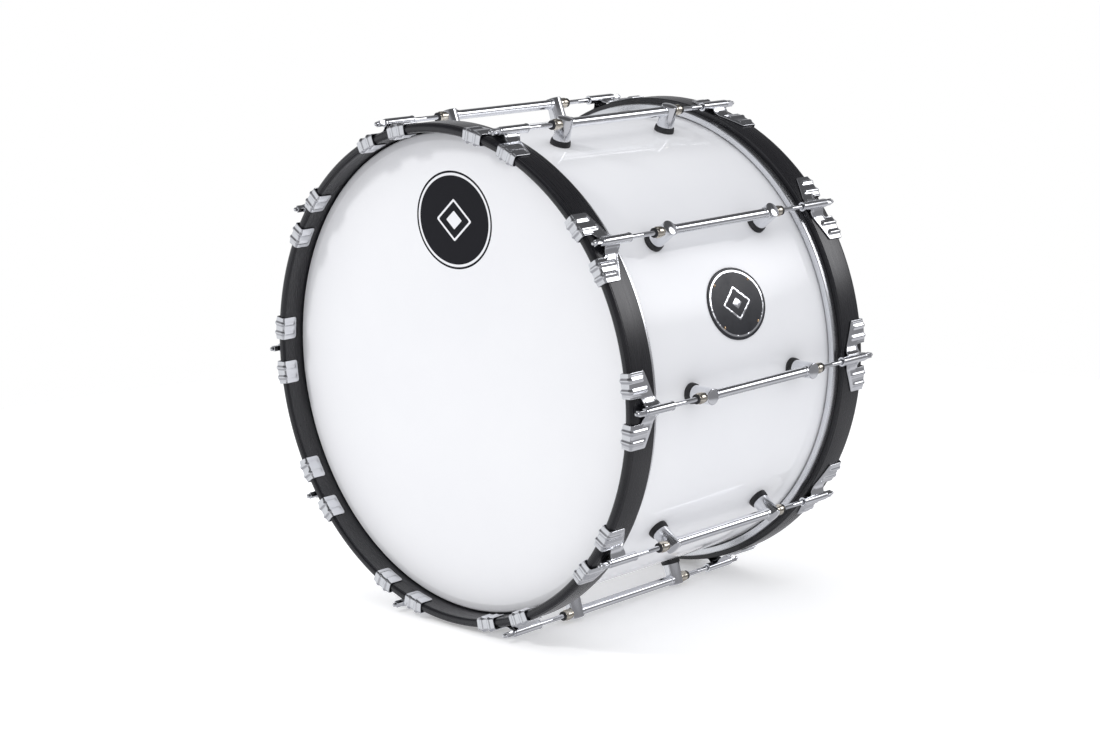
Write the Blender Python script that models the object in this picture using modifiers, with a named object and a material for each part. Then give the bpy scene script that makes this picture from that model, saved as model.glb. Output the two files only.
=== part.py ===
"""Marching bass drum, 22 by 14 inches, with ten tube lugs and double-hook claws.

The origin is the drum's centre. The drum's axis is Y: the front head faces -Y and the rear
head +Y. +Z is up as the drum is carried. A station is an angle round the axis, counted from
+X towards +Z, where one lug, two tension rods and two claws sit on one line.
"""
import math

import bmesh
import bpy
from mathutils import Matrix

MM = 0.001
INCH = 0.0254

# Overall
SHELL_DIAMETER = 22 * INCH
SHELL_DEPTH = 14 * INCH
SHELL_WALL = 7.0 * MM
STATIONS = 10
RING_SIDES = 50                   # sides of the shell, hoops and heads, a multiple of STATIONS
BORE_SIDES = 8                    # sides of the rods, and of what they pass through
POST_SIDES = 8
GAP = 0.3 * MM                    # left between pieces that touch on the real drum

# Bearing edges of the shell
EDGE_ROUND = 3.0 * MM
EDGE_CREST = 1.8 * MM

# Heads: a film whose collar drops into an aluminium flesh hoop
FILM_THICKNESS = 0.7 * MM
COLLAR_CLEARANCE = 3.5 * MM       # between the shell and the film's collar
COLLAR_SHOULDER = 5.0 * MM        # how far in from the collar the film starts to bend down
FLESH_WALL = 1.2 * MM
FLESH_HEIGHT = 10.2 * MM
FLESH_LIP = 4.2 * MM              # how far the flesh hoop reaches out under the counterhoop
FLOOR_OVERLAP = 1.7 * MM          # how far the flesh hoop reaches in past the collar

# Counterhoops
HOOP_WALL = 11.1 * MM
HOOP_DEPTH = 1.5 * INCH
HOOP_DROP = 9.4 * MM              # the counterhoop's shell side below the playing surface
HOOP_CLEARANCE = 0.8 * MM
HOOP_ROUND = 4.0 * MM

# Tension rods
ROD_DIAMETER = 5.5 * MM
ROD_COLLAR_DIAMETER = 9.4 * MM
ROD_COLLAR_LENGTH = 2.4 * MM
KEY_HEAD_WIDTH = 6.3 * MM
KEY_HEAD_LENGTH = 9.6 * MM
ROD_TIP_DIAMETER = 4.8 * MM
ROD_TIP_LENGTH = 4.6 * MM
ROD_PAST_POST = 6.0 * MM          # how far the rod runs on inside the lug, past the post's centre
BORE_CLEARANCE = 0.65 * MM        # all round the rod, in the claw's sleeve and in the lug

# Claws
CLAW_GAP = 0.5 * MM
CLAW_THICKNESS = 2.3 * MM
CLAW_WIDTH = 86.0 * MM
CLAW_NOTCH_WIDTH = 28.6 * MM
CLAW_NOTCH_DEPTH = 15.0 * MM      # back from the counterhoop's front edge
CLAW_INNER_LEG = 19.5 * MM        # down the inside of the counterhoop
CLAW_SIDE_LENGTH = 25.5 * MM      # along the outer side of each hook
CLAW_BACK_REACH = 0.4 * MM        # the web's shell side past the counterhoop's
CLAW_BEND = 3.2 * MM
SLEEVE_WALL = 1.8 * MM
SLEEVE_LENGTH = 42.7 * MM
SLEEVE_STANDOFF = 1.5 * MM        # between the sleeve and the plate below it
SLEEVE_SETBACK = 12.5 * MM        # the sleeve's outer end behind the counterhoop's front edge
WEB_TOP_WIDTH = 7.0 * MM
WEB_FOOT_WIDTH = 19.0 * MM

# Tube lugs
POST_SPACING = 180.0 * MM
POST_DIAMETER = 18.6 * MM
POST_FOOT_DIAMETER = 20.4 * MM
POST_ABOVE_ROD = 8.0 * MM
GASKET_DIAMETER = 24.0 * MM
GASKET_THICKNESS = 6.3 * MM
TUBE_WALL = 2.35 * MM
NUT_WALL = 1.8 * MM
NUT_REACH = 22.4 * MM             # the nut's outer end from the post's centre
SCREW_DIAMETER = 5.0 * MM
SCREW_CLEARANCE = 0.5 * MM
SCREW_HEAD_DIAMETER = 9.0 * MM
SCREW_HEAD_HEIGHT = 3.0 * MM
WASHER_DIAMETER = 14.0 * MM
WASHER_THICKNESS = 1.6 * MM
WASHER_GAP = 0.7 * MM             # flat washer inside the curved shell

# Badge and vent
BADGE_STATION = 0.5               # midway between the first two stations
BADGE_CENTRE_Y = 6.0 * MM
BADGE_WIDTH = 98.0 * MM           # along the drum's axis
BADGE_HEIGHT = 84.0 * MM          # round the shell
BADGE_THICKNESS = 1.6 * MM
VENT_STATION = STATIONS / 2 - 0.5
VENT_BORE_DIAMETER = 8.0 * MM
VENT_WALL = 2.0 * MM
VENT_FLANGE_WIDTH = 4.0 * MM
VENT_FLANGE_THICKNESS = 2.2 * MM
VENT_CLEARANCE = 0.6 * MM
VENT_SIDES = 12

# Worked out from the sizes above. Radii are from the drum's axis, and reaches are from the
# drum's middle plane along Y.
SHELL_RADIUS = SHELL_DIAMETER / 2
SHELL_INNER_RADIUS = SHELL_RADIUS - SHELL_WALL
EDGE_REACH = SHELL_DEPTH / 2
FILM_INNER_REACH = EDGE_REACH + GAP
FILM_OUTER_REACH = FILM_INNER_REACH + FILM_THICKNESS
COLLAR_INNER_RADIUS = SHELL_RADIUS + COLLAR_CLEARANCE
COLLAR_OUTER_RADIUS = COLLAR_INNER_RADIUS + FILM_THICKNESS
HOOP_INNER_RADIUS = COLLAR_OUTER_RADIUS + HOOP_CLEARANCE
HOOP_OUTER_RADIUS = HOOP_INNER_RADIUS + HOOP_WALL
HOOP_BACK_REACH = EDGE_REACH - HOOP_DROP
HOOP_FRONT_REACH = HOOP_BACK_REACH + HOOP_DEPTH
FLESH_TOP_REACH = HOOP_BACK_REACH - GAP
FLESH_BOTTOM_REACH = FLESH_TOP_REACH - FLESH_HEIGHT
FLESH_OUTER_RADIUS = HOOP_INNER_RADIUS + FLESH_LIP
BORE_RADIUS = ROD_DIAMETER / 2 + BORE_CLEARANCE
SLEEVE_RADIUS = BORE_RADIUS + SLEEVE_WALL
CLAW_INNER_FACE = HOOP_OUTER_RADIUS + CLAW_GAP
CLAW_OUTER_FACE = CLAW_INNER_FACE + CLAW_THICKNESS
ROD_RADIUS = CLAW_OUTER_FACE + SLEEVE_STANDOFF + SLEEVE_RADIUS
SLEEVE_OUTER_REACH = HOOP_FRONT_REACH - SLEEVE_SETBACK
SLEEVE_INNER_REACH = SLEEVE_OUTER_REACH - SLEEVE_LENGTH
POST_REACH = POST_SPACING / 2
POST_END_RADIUS = ROD_RADIUS + POST_ABOVE_ROD
POST_FOOT_RADIUS = SHELL_RADIUS + GAP + GASKET_THICKNESS
STATION_STEP = 2 * math.pi / STATIONS
FACET = 2 * math.pi / RING_SIDES

SIDES = {"front": Matrix.Identity(4), "rear": Matrix.Rotation(math.pi, 4, "X")}


def new_collection(name):
    collection = bpy.data.collections.new(name)
    bpy.context.scene.collection.children.link(collection)
    return collection


def principled(name, colour, roughness, metallic=0.0):
    material = bpy.data.materials.new(name)
    material.use_nodes = True
    shader = material.node_tree.nodes["Principled BSDF"]
    shader.inputs["Base Color"].default_value = (*colour, 1.0)
    shader.inputs["Roughness"].default_value = roughness
    shader.inputs["Metallic"].default_value = metallic
    return material


def new_object(name, mesh, collection, matrix=Matrix.Identity(4)):
    item = bpy.data.objects.new(name, mesh)
    collection.objects.link(item)
    item.matrix_world = matrix
    return item


def mesh_from(bm, name):
    bmesh.ops.recalc_face_normals(bm, faces=bm.faces)
    mesh = bpy.data.meshes.new(name)
    bm.to_mesh(mesh)
    bm.free()
    return mesh


def along(axis):
    """Rotation that turns a solid built along Z to lie along an axis letter."""
    return {
        "X": Matrix.Rotation(math.pi / 2, 4, "Y"),
        "Y": Matrix.Rotation(-math.pi / 2, 4, "X"),
        "Z": Matrix.Identity(4),
    }[axis]


def cylinder(axis, start, end, radius, centre=(0, 0, 0), sides=12, end_radius=None):
    """Solid cylinder or cone from start to end along an axis through a centre point.

    One along Y has a flat, not a corner, towards the drum, so no edges of crossing pieces meet.
    """
    bm = bmesh.new()
    half_side = Matrix.Rotation(math.pi / sides if axis == "Y" else 0, 4, "Z")
    shift = (Matrix.Translation(centre) @ along(axis)
             @ Matrix.Translation((0, 0, (start + end) / 2)) @ half_side)
    bmesh.ops.create_cone(
        bm, cap_ends=True, segments=sides, radius1=radius,
        radius2=radius if end_radius is None else end_radius,
        depth=end - start, matrix=shift)
    return new_object("cylinder", mesh_from(bm, "cylinder"), CUTTERS)


def block(low, high, turn=Matrix.Identity(4)):
    """Solid box between two corners, then turned."""
    bm = bmesh.new()
    size = [b - a for a, b in zip(low, high)]
    middle = [(a + b) / 2 for a, b in zip(low, high)]
    place = turn @ Matrix.Translation(middle) @ Matrix.Diagonal((*size, 1.0))
    bmesh.ops.create_cube(bm, size=1.0, matrix=place)
    return new_object("block", mesh_from(bm, "block"), CUTTERS)


def profile_mesh(name, points, closed):
    """Edges only, in the XZ plane, running down the outer side first."""
    mesh = bpy.data.meshes.new(name)
    edges = [(i, i + 1) for i in range(len(points) - 1)]
    if closed:
        edges.append((len(points) - 1, 0))
    mesh.from_pydata([(x, 0, z) for x, z in points], edges, [])
    return mesh


def turn_profile(item, sides):
    """Turn an object's profile round its Z axis."""
    screw = item.modifiers.new("turn", "SCREW")
    screw.axis = "Z"
    screw.angle = 2 * math.pi
    screw.steps = sides
    screw.render_steps = sides
    screw.use_merge_vertices = True
    screw.merge_threshold = 0.00001
    return item


def add_boolean(item, other, operation):
    modifier = item.modifiers.new(operation.lower(), "BOOLEAN")
    modifier.operation = operation
    modifier.solver = "EXACT"
    modifier.object = other


def fused(name, pieces, cuts=(), keep_inside=None):
    """One closed mesh: the union of the pieces, less the cuts, kept inside another solid."""
    base = pieces[0]
    for piece in pieces[1:]:
        add_boolean(base, piece, "UNION")
    for cut in cuts:
        add_boolean(base, cut, "DIFFERENCE")
    if keep_inside is not None:
        add_boolean(base, keep_inside, "INTERSECT")
    bpy.context.view_layer.update()
    graph = bpy.context.evaluated_depsgraph_get()
    mesh = bpy.data.meshes.new_from_object(base.evaluated_get(graph))
    mesh.name = name
    for used in [*pieces, *cuts, *([keep_inside] if keep_inside else [])]:
        bpy.data.objects.remove(used)
    return mesh


def arc_band(name, points, half_angle, steps):
    """A flat outline of (radius, y) points swept round the drum's axis, centred on +X."""
    bm = bmesh.new()
    corners = [bm.verts.new((radius, y, 0)) for radius, y in points]
    face = bm.faces.new(corners)
    bmesh.ops.rotate(
        bm, verts=corners, cent=(0, 0, 0), matrix=Matrix.Rotation(-half_angle, 3, "Y"))
    bmesh.ops.spin(
        bm, geom=[face, *face.edges, *corners], cent=(0, 0, 0), axis=(0, 1, 0),
        angle=2 * half_angle, steps=steps, use_merge=False)
    return new_object(name, mesh_from(bm, name), CUTTERS)


def station(index, side="front"):
    """Frame of a station: X outward, and Y towards the drum's middle from the named side."""
    return Matrix.Rotation(-index * STATION_STEP, 4, "Y") @ SIDES[side]


def finish(item, material, rounded=True):
    """Colour a part, smooth its round faces and hang it on the drum's empty."""
    if not item.data.materials:
        item.data.materials.append(material)
    if rounded:
        item.data.shade_smooth()
        item.data.set_sharp_from_angle(angle=math.radians(30))
    world = item.matrix_world.copy()
    item.parent = DRUM
    item.matrix_world = world
    return item


def end_ring(name, points, closed, side, material):
    """A ring or film turned round the drum's axis, with its profile's Z pointing outward."""
    outward = SIDES[side] @ Matrix.Rotation(math.pi / 2, 4, "X")
    item = new_object(name, profile_mesh(name, points, closed), PARTS, outward)
    turn_profile(item, RING_SIDES)
    return finish(item, material, rounded=False)


def make_shell():
    crest_outer = SHELL_RADIUS - EDGE_ROUND
    crest_inner = crest_outer - EDGE_CREST
    bevel = crest_inner - SHELL_INNER_RADIUS
    half = [
        (SHELL_INNER_RADIUS, EDGE_REACH - bevel), (crest_inner, EDGE_REACH),
        (crest_outer, EDGE_REACH), (SHELL_RADIUS, EDGE_REACH - EDGE_ROUND),
    ]
    points = half + [(radius, -z) for radius, z in reversed(half)]
    shell = end_ring("shell", points, True, "front", GLOSS_WHITE)

    bm = bmesh.new()
    inward = SHELL_INNER_RADIUS - WASHER_DIAMETER
    outward = SHELL_RADIUS + WASHER_DIAMETER
    depth = outward - inward
    for index in range(STATIONS):
        for end in (-1, 1):
            place = (station(index) @ Matrix.Translation(((inward + outward) / 2, end * POST_REACH, 0))
                     @ along("X"))
            radius = SCREW_DIAMETER / 2 + SCREW_CLEARANCE
            bmesh.ops.create_cone(bm, cap_ends=True, segments=POST_SIDES, radius1=radius,
                                  radius2=radius, depth=depth, matrix=place)
    place = station(VENT_STATION) @ Matrix.Translation(((inward + outward) / 2, 0, 0)) @ along("X")
    radius = VENT_BORE_DIAMETER / 2 + VENT_WALL + VENT_CLEARANCE
    bmesh.ops.create_cone(bm, cap_ends=True, segments=VENT_SIDES, radius1=radius,
                          radius2=radius, depth=depth, matrix=place)
    holes = new_object("shell_holes", mesh_from(bm, "shell_holes"), CUTTERS)
    holes.hide_render = True
    holes.display_type = "WIRE"
    add_boolean(shell, holes, "DIFFERENCE")
    return shell


def make_counterhoop(side):
    corner = HOOP_ROUND * (1 - math.sqrt(0.5))
    outer = [
        (HOOP_OUTER_RADIUS - HOOP_ROUND, HOOP_FRONT_REACH),
        (HOOP_OUTER_RADIUS - corner, HOOP_FRONT_REACH - corner),
        (HOOP_OUTER_RADIUS, HOOP_FRONT_REACH - HOOP_ROUND),
        (HOOP_OUTER_RADIUS, HOOP_BACK_REACH),
    ]
    middle = (HOOP_OUTER_RADIUS + HOOP_INNER_RADIUS) / 2
    inner = [(2 * middle - radius, z) for radius, z in reversed(outer)]
    return end_ring(side + "_counterhoop", outer + inner, True, side, SATIN_BLACK)


def make_flesh_hoop(side):
    """An angle-section ring: the film's collar stands on its floor, inside its wall."""
    floor = FLESH_BOTTOM_REACH + FLESH_WALL
    wall_inner = FLESH_OUTER_RADIUS - FLESH_WALL
    floor_inner = COLLAR_INNER_RADIUS - FLOOR_OVERLAP
    points = [
        (wall_inner, FLESH_TOP_REACH), (FLESH_OUTER_RADIUS, FLESH_TOP_REACH),
        (FLESH_OUTER_RADIUS, FLESH_BOTTOM_REACH), (floor_inner, FLESH_BOTTOM_REACH),
        (floor_inner, floor), (wall_inner, floor),
    ]
    return end_ring(side + "_flesh_hoop", points, True, side, ALUMINIUM)


def make_head_film(side):
    collar_foot = FLESH_BOTTOM_REACH + FLESH_WALL + GAP
    crown = COLLAR_OUTER_RADIUS - COLLAR_SHOULDER
    drop = COLLAR_SHOULDER * 0.6
    points = [
        (0, FILM_OUTER_REACH), (crown, FILM_OUTER_REACH),
        (COLLAR_OUTER_RADIUS, FILM_OUTER_REACH - drop), (COLLAR_OUTER_RADIUS, collar_foot),
        (COLLAR_INNER_RADIUS, collar_foot), (COLLAR_INNER_RADIUS, FILM_INNER_REACH - drop),
        (crown, FILM_INNER_REACH), (0, FILM_INNER_REACH),
    ]
    return end_ring(side + "_head_film", points, False, side, FILM_WHITE)


def rod_mesh():
    """A tension rod standing on the rod line: its origin is level with the drum's middle."""
    inner_end = POST_REACH - ROD_PAST_POST
    collar = SLEEVE_OUTER_REACH + GAP
    head = collar + ROD_COLLAR_LENGTH
    head_end = head + KEY_HEAD_LENGTH
    tip = head_end + ROD_TIP_LENGTH
    shank = ROD_DIAMETER / 2
    points = [
        (0, tip), (ROD_TIP_DIAMETER / 2, tip), (ROD_TIP_DIAMETER / 2, head),
        (ROD_COLLAR_DIAMETER / 2, head), (ROD_COLLAR_DIAMETER / 2, collar),
        (shank, collar), (shank, inner_end), (0, inner_end),
    ]
    body = turn_profile(new_object("rod", profile_mesh("rod", points, False), CUTTERS), BORE_SIDES)
    half = KEY_HEAD_WIDTH / 2
    key_head = block((-half, -half, head - ROD_COLLAR_LENGTH / 2), (half, half, head_end))
    return fused("tension_rod", [body, key_head])


def make_rod(name, index, side, mesh):
    stand = Matrix.Translation((ROD_RADIUS, 0, 0)) @ Matrix.Rotation(math.pi / 2, 4, "X")
    return finish(new_object(name, mesh, PARTS, station(index, side) @ stand), CHROME)


def claw_mesh():
    """A double claw for the front side: two hooks over the counterhoop and a rod sleeve."""
    front = HOOP_FRONT_REACH + CLAW_GAP
    leg_outer = HOOP_INNER_RADIUS - CLAW_GAP
    leg_inner = leg_outer - CLAW_THICKNESS
    leg_end = HOOP_FRONT_REACH - CLAW_INNER_LEG
    back = HOOP_BACK_REACH - CLAW_BACK_REACH
    bend = CLAW_BEND
    points = [
        (CLAW_OUTER_FACE, -back), (CLAW_OUTER_FACE, bend - front - CLAW_THICKNESS),
        (CLAW_OUTER_FACE - bend, -front - CLAW_THICKNESS),
        (leg_inner + bend, -front - CLAW_THICKNESS), (leg_inner, bend - front - CLAW_THICKNESS),
        (leg_inner, -leg_end), (leg_outer, -leg_end),
        (leg_outer, -front), (CLAW_INNER_FACE, -front), (CLAW_INNER_FACE, -back),
    ]
    facets = math.ceil(math.asin(CLAW_WIDTH / 2 / leg_inner) / FACET)
    hooks = arc_band("claw", points, facets * FACET, steps=2 * facets)

    sleeve = cylinder("Y", -SLEEVE_OUTER_REACH, -SLEEVE_INNER_REACH, SLEEVE_RADIUS,
                      centre=(ROD_RADIUS, 0, 0), sides=BORE_SIDES)
    web_front = -HOOP_FRONT_REACH + CLAW_NOTCH_DEPTH + CLAW_THICKNESS
    web_low = CLAW_INNER_FACE + CLAW_THICKNESS / 3
    web_high = ROD_RADIUS - SLEEVE_RADIUS / 2
    web = cylinder("X", web_low, web_high, WEB_FOOT_WIDTH * math.sqrt(0.5),
                   centre=(0, 0, 0), sides=4, end_radius=WEB_TOP_WIDTH * math.sqrt(0.5))
    turn = Matrix.Rotation(math.pi / 4, 4, "X")
    web.data.transform(turn)
    stretch = (-back - web_front) / WEB_FOOT_WIDTH
    web.data.transform(Matrix.Translation((0, (web_front - back) / 2, 0))
                       @ Matrix.Diagonal((1, stretch, 1, 1)))

    bore = cylinder("Y", -HOOP_FRONT_REACH, -SLEEVE_INNER_REACH + MM, BORE_RADIUS,
                    centre=(ROD_RADIUS, 0, 0), sides=BORE_SIDES)
    room = 20 * MM
    notch = block((leg_inner - room, -front - room, -CLAW_NOTCH_WIDTH / 2),
                  (CLAW_OUTER_FACE + room / 10, -HOOP_FRONT_REACH + CLAW_NOTCH_DEPTH,
                   CLAW_NOTCH_WIDTH / 2))
    cuts = [bore, notch]
    side_end = -front - CLAW_THICKNESS + CLAW_SIDE_LENGTH
    slope_run = CLAW_WIDTH / 2 - WEB_FOOT_WIDTH / 2
    slope = math.atan2(-back - side_end, slope_run)
    for side in (-1, 1):
        corner = Matrix.Translation((0, side_end, side * CLAW_WIDTH / 2))
        swing = corner @ Matrix.Rotation(side * slope, 4, "X")
        low = (CLAW_INNER_FACE - room, 0, -CLAW_WIDTH / 2 if side > 0 else -room)
        high = (CLAW_OUTER_FACE + room / 10, CLAW_WIDTH, room if side > 0 else CLAW_WIDTH / 2)
        cuts.append(block(low, high, swing))
        edge = sorted((side * CLAW_WIDTH / 2, side * ROD_RADIUS))
        cuts.append(block((leg_inner - room, -front - room, edge[0]),
                          (CLAW_OUTER_FACE + room, room - back, edge[1])))
    return fused("claw", [hooks, web, sleeve], cuts)


def make_claw(name, index, side, mesh):
    return finish(new_object(name, mesh, PARTS, station(index, side)), CHROME)


def lug_mesh():
    """A tube lug: hollow tube, two posts on gaskets, swivel nuts and mounting screws."""
    line = (ROD_RADIUS, 0, 0)
    nut_end = POST_REACH + NUT_REACH
    bore = cylinder("Y", -nut_end - MM, nut_end + MM, BORE_RADIUS, line, BORE_SIDES)
    tube = cylinder("Y", -POST_REACH, POST_REACH, BORE_RADIUS + TUBE_WALL, line, BORE_SIDES)
    gasket_foot = SHELL_RADIUS + GAP
    overlap = GASKET_THICKNESS / 4
    washer_top = SHELL_INNER_RADIUS - WASHER_GAP
    washer_foot = washer_top - WASHER_THICKNESS
    pieces = [tube]
    for end in (-1, 1):
        middle = (0, end * POST_REACH, 0)
        nut = sorted((end * POST_REACH, end * nut_end))
        pieces += [
            cylinder("X", POST_FOOT_RADIUS - overlap, POST_END_RADIUS, POST_FOOT_DIAMETER / 2,
                     middle, POST_SIDES, POST_DIAMETER / 2),
            cylinder("X", gasket_foot, POST_FOOT_RADIUS, GASKET_DIAMETER / 2,
                     middle, POST_SIDES),
            cylinder("X", washer_foot - SCREW_HEAD_HEIGHT / 2, gasket_foot + overlap,
                     SCREW_DIAMETER / 2, middle, 6),
            cylinder("X", washer_foot, washer_top, WASHER_DIAMETER / 2, middle, BORE_SIDES),
            cylinder("X", washer_foot - SCREW_HEAD_HEIGHT, washer_foot + WASHER_THICKNESS / 2,
                     SCREW_HEAD_DIAMETER / 2, middle, 6),
            cylinder("Y", *nut, BORE_RADIUS + NUT_WALL, line, BORE_SIDES),
        ]
    return fused("tube_lug", pieces, [bore])


def make_lug(name, index, mesh):
    return finish(new_object(name, mesh, PARTS, station(index)), CHROME)


def make_badge():
    """A plain oval plate, bent to the shell."""
    inner = SHELL_RADIUS + GAP
    outer = inner + BADGE_THICKNESS
    half_angle = BADGE_HEIGHT * 0.6 / SHELL_RADIUS
    reach = BADGE_WIDTH * 0.6
    points = [(inner, -reach), (outer, -reach), (outer, reach), (inner, reach)]
    half_facets_to_badge = round(2 * BADGE_STATION * STATION_STEP / FACET)
    steps = 2 * math.ceil(half_angle / FACET) + half_facets_to_badge % 2
    plate = arc_band("badge", points, steps * FACET / 2, steps)
    oval = cylinder("X", SHELL_INNER_RADIUS, SHELL_RADIUS + SHELL_WALL, 0.5, sides=28)
    oval.data.transform(Matrix.Diagonal((1, BADGE_WIDTH, BADGE_HEIGHT, 1)))
    mesh = fused("badge", [plate], keep_inside=oval)
    place = Matrix.Translation((0, BADGE_CENTRE_Y, 0)) @ station(BADGE_STATION)
    return finish(new_object("badge", mesh, PARTS, place), BADGE_BLACK)


def make_vent():
    """An open grommet pressed into the shell's air hole."""
    bore = VENT_BORE_DIAMETER / 2
    tube = bore + VENT_WALL
    flange = tube + VENT_FLANGE_WIDTH
    seat = SHELL_RADIUS + GAP
    points = [
        (bore, seat + VENT_FLANGE_THICKNESS), (flange - MM, seat + VENT_FLANGE_THICKNESS),
        (flange, seat + VENT_FLANGE_THICKNESS / 2), (flange, seat), (tube, seat),
        (tube, SHELL_INNER_RADIUS), (bore, SHELL_INNER_RADIUS),
    ]
    place = station(VENT_STATION) @ along("X")
    item = new_object("vent_grommet", profile_mesh("vent_grommet", points, True), PARTS, place)
    turn_profile(item, VENT_SIDES)
    return finish(item, CHROME, rounded=False)


for old in list(bpy.data.objects):
    bpy.data.objects.remove(old)

PARTS = new_collection("Marching_bass_drum")
CUTTERS = new_collection("Cutters")
DRUM = bpy.data.objects.new("drum", None)
PARTS.objects.link(DRUM)

GLOSS_WHITE = principled("gloss_white", (0.88, 0.88, 0.90), 0.08)
SATIN_BLACK = principled("satin_black", (0.012, 0.012, 0.015), 0.32)
CHROME = principled("chrome", (0.78, 0.79, 0.81), 0.08, metallic=1.0)
ALUMINIUM = principled("aluminium", (0.72, 0.73, 0.76), 0.25, metallic=1.0)
FILM_WHITE = principled("film_white", (0.86, 0.86, 0.88), 0.38)
BADGE_BLACK = principled("badge_black", (0.02, 0.02, 0.024), 0.30)

make_shell()
make_badge()
make_vent()
LUG = lug_mesh()
CLAW = claw_mesh()
ROD = rod_mesh()
for position in range(STATIONS):
    make_lug(f"lug_{position + 1:02d}", position, LUG)
for end_name in SIDES:
    make_head_film(end_name)
    make_flesh_hoop(end_name)
    make_counterhoop(end_name)
    for position in range(STATIONS):
        make_claw(f"{end_name}_claw_{position + 1:02d}", position, end_name, CLAW)
        make_rod(f"{end_name}_rod_{position + 1:02d}", position, end_name, ROD)
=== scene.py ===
"""Looks of the marching bass drum: fine surfaces and finishes for every CAD piece.

Lengths are in metres. The drum's axis is Y and its front head faces -Y. A station is an angle
round the axis, counted from +X towards +Z. In a station's own frame X points outward and -Y
points out of the head on that side. A reach is a distance from the drum's middle plane.
"""
import math

import bmesh
import bpy
import numpy as np
from mathutils import Matrix, Vector
from mathutils.geometry import delaunay_2d_cdt


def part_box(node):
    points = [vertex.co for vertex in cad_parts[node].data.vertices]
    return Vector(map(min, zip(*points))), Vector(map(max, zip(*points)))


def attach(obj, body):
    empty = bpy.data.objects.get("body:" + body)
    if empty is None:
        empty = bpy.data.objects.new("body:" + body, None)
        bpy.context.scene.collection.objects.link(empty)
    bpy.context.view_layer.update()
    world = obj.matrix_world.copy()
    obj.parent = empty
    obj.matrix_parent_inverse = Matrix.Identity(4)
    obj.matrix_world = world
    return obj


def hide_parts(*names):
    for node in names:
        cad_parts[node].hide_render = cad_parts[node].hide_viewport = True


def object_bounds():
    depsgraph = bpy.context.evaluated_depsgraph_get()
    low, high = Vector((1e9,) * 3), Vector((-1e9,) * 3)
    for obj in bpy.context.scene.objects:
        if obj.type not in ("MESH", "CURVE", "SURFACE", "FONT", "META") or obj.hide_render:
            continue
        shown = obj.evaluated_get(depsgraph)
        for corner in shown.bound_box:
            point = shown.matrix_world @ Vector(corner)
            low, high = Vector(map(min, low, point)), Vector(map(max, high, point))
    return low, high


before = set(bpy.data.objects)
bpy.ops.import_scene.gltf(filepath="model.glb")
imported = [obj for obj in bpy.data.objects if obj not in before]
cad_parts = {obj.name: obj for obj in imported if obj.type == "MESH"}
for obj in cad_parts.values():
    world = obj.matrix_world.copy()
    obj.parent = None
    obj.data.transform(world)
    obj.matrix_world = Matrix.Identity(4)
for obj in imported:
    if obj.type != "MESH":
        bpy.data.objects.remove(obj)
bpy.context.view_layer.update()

MM = 0.001
STATIONS = sum(node.startswith("lug_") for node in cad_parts)
STATION_STEP = 2 * math.pi / STATIONS
SIDES = {"front": Matrix.Identity(4), "rear": Matrix.Rotation(math.pi, 4, "X")}
Z_TO_X = Matrix.Rotation(math.pi / 2, 4, "Y")
Z_TO_Y = Matrix.Rotation(-math.pi / 2, 4, "X")
Z_TO_FRONT = Matrix.Rotation(math.pi / 2, 4, "X")

# Places of the CAD pieces, from the rear side, whose reaches are plain Y values
SHELL_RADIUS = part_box("shell")[1].x
EDGE_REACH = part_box("shell")[1].y
COLLAR_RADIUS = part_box("rear_head_film")[1].x
COLLAR_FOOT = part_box("rear_head_film")[0].y
FILM_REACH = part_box("rear_head_film")[1].y
FLESH_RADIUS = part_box("rear_flesh_hoop")[1].x
FLESH_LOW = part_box("rear_flesh_hoop")[0].y
FLESH_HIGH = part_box("rear_flesh_hoop")[1].y
HOOP_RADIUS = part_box("rear_counterhoop")[1].x
HOOP_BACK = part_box("rear_counterhoop")[0].y
HOOP_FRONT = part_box("rear_counterhoop")[1].y
ROD_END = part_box("rear_rod_01")[0].y
ROD_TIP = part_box("rear_rod_01")[1].y
ROD_LINE = (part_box("rear_rod_01")[0].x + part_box("rear_rod_01")[1].x) / 2
CLAW_HALF_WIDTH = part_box("rear_claw_01")[1].z
SLEEVE_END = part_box("rear_claw_01")[0].y
SCREW_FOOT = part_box("lug_01")[0].x
POST_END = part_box("lug_01")[1].x
NUT_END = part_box("lug_01")[1].y

# Ring pieces
RING_SIDES = 288
SHELL_WALL = 7.0 * MM
FILM_THICKNESS = 0.7 * MM
HOOP_WALL = 11.1 * MM
FLESH_WALL = 1.2 * MM

# Claws
CLAW_CLEARANCE = 0.5 * MM
CLAW_SHEET = 1.7 * MM
CLAW_BEND = 1.6 * MM
CLAW_BACK = HOOP_BACK - 0.4 * MM
CLAW_LEG = 19.5 * MM
NOTCH_HALF_WIDTH = 14.3 * MM
NOTCH_DEPTH = 15.0 * MM
SLEEVE_RADIUS = 5.2 * MM
SLEEVE_BORE = 3.4 * MM
SLEEVE_FRONT = HOOP_FRONT - 12.5 * MM

# Rods, lugs and badge
ROD_RADIUS = 2.75 * MM
THREAD_PITCH = 25.4 / 24 * MM
THREAD_LENGTH = 47.0 * MM
KEY_HEAD = 6.3 * MM
POST_REACH = 90.0 * MM
POST_RADIUS = 9.3 * MM
POST_FOOT_RADIUS = 10.2 * MM
GASKET_RADIUS = 12.0 * MM
GASKET_HEIGHT = 6.3 * MM
TUBE_RADIUS = 5.75 * MM
BADGE_HALF_LENGTH = 49.0 * MM
BADGE_HALF_HEIGHT = 42.0 * MM
BADGE_THICKNESS = 1.6 * MM
EMBLEM_CENTRE = 182.0 * MM
EMBLEM_HALF_WIDTH = 62.0 * MM
EMBLEM_HALF_HEIGHT = 57.0 * MM


def station(index, side="front"):
    return Matrix.Rotation(-index * STATION_STEP, 4, "Y") @ SIDES[side]


# ---------------------------------------------------------------- mesh tools

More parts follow.
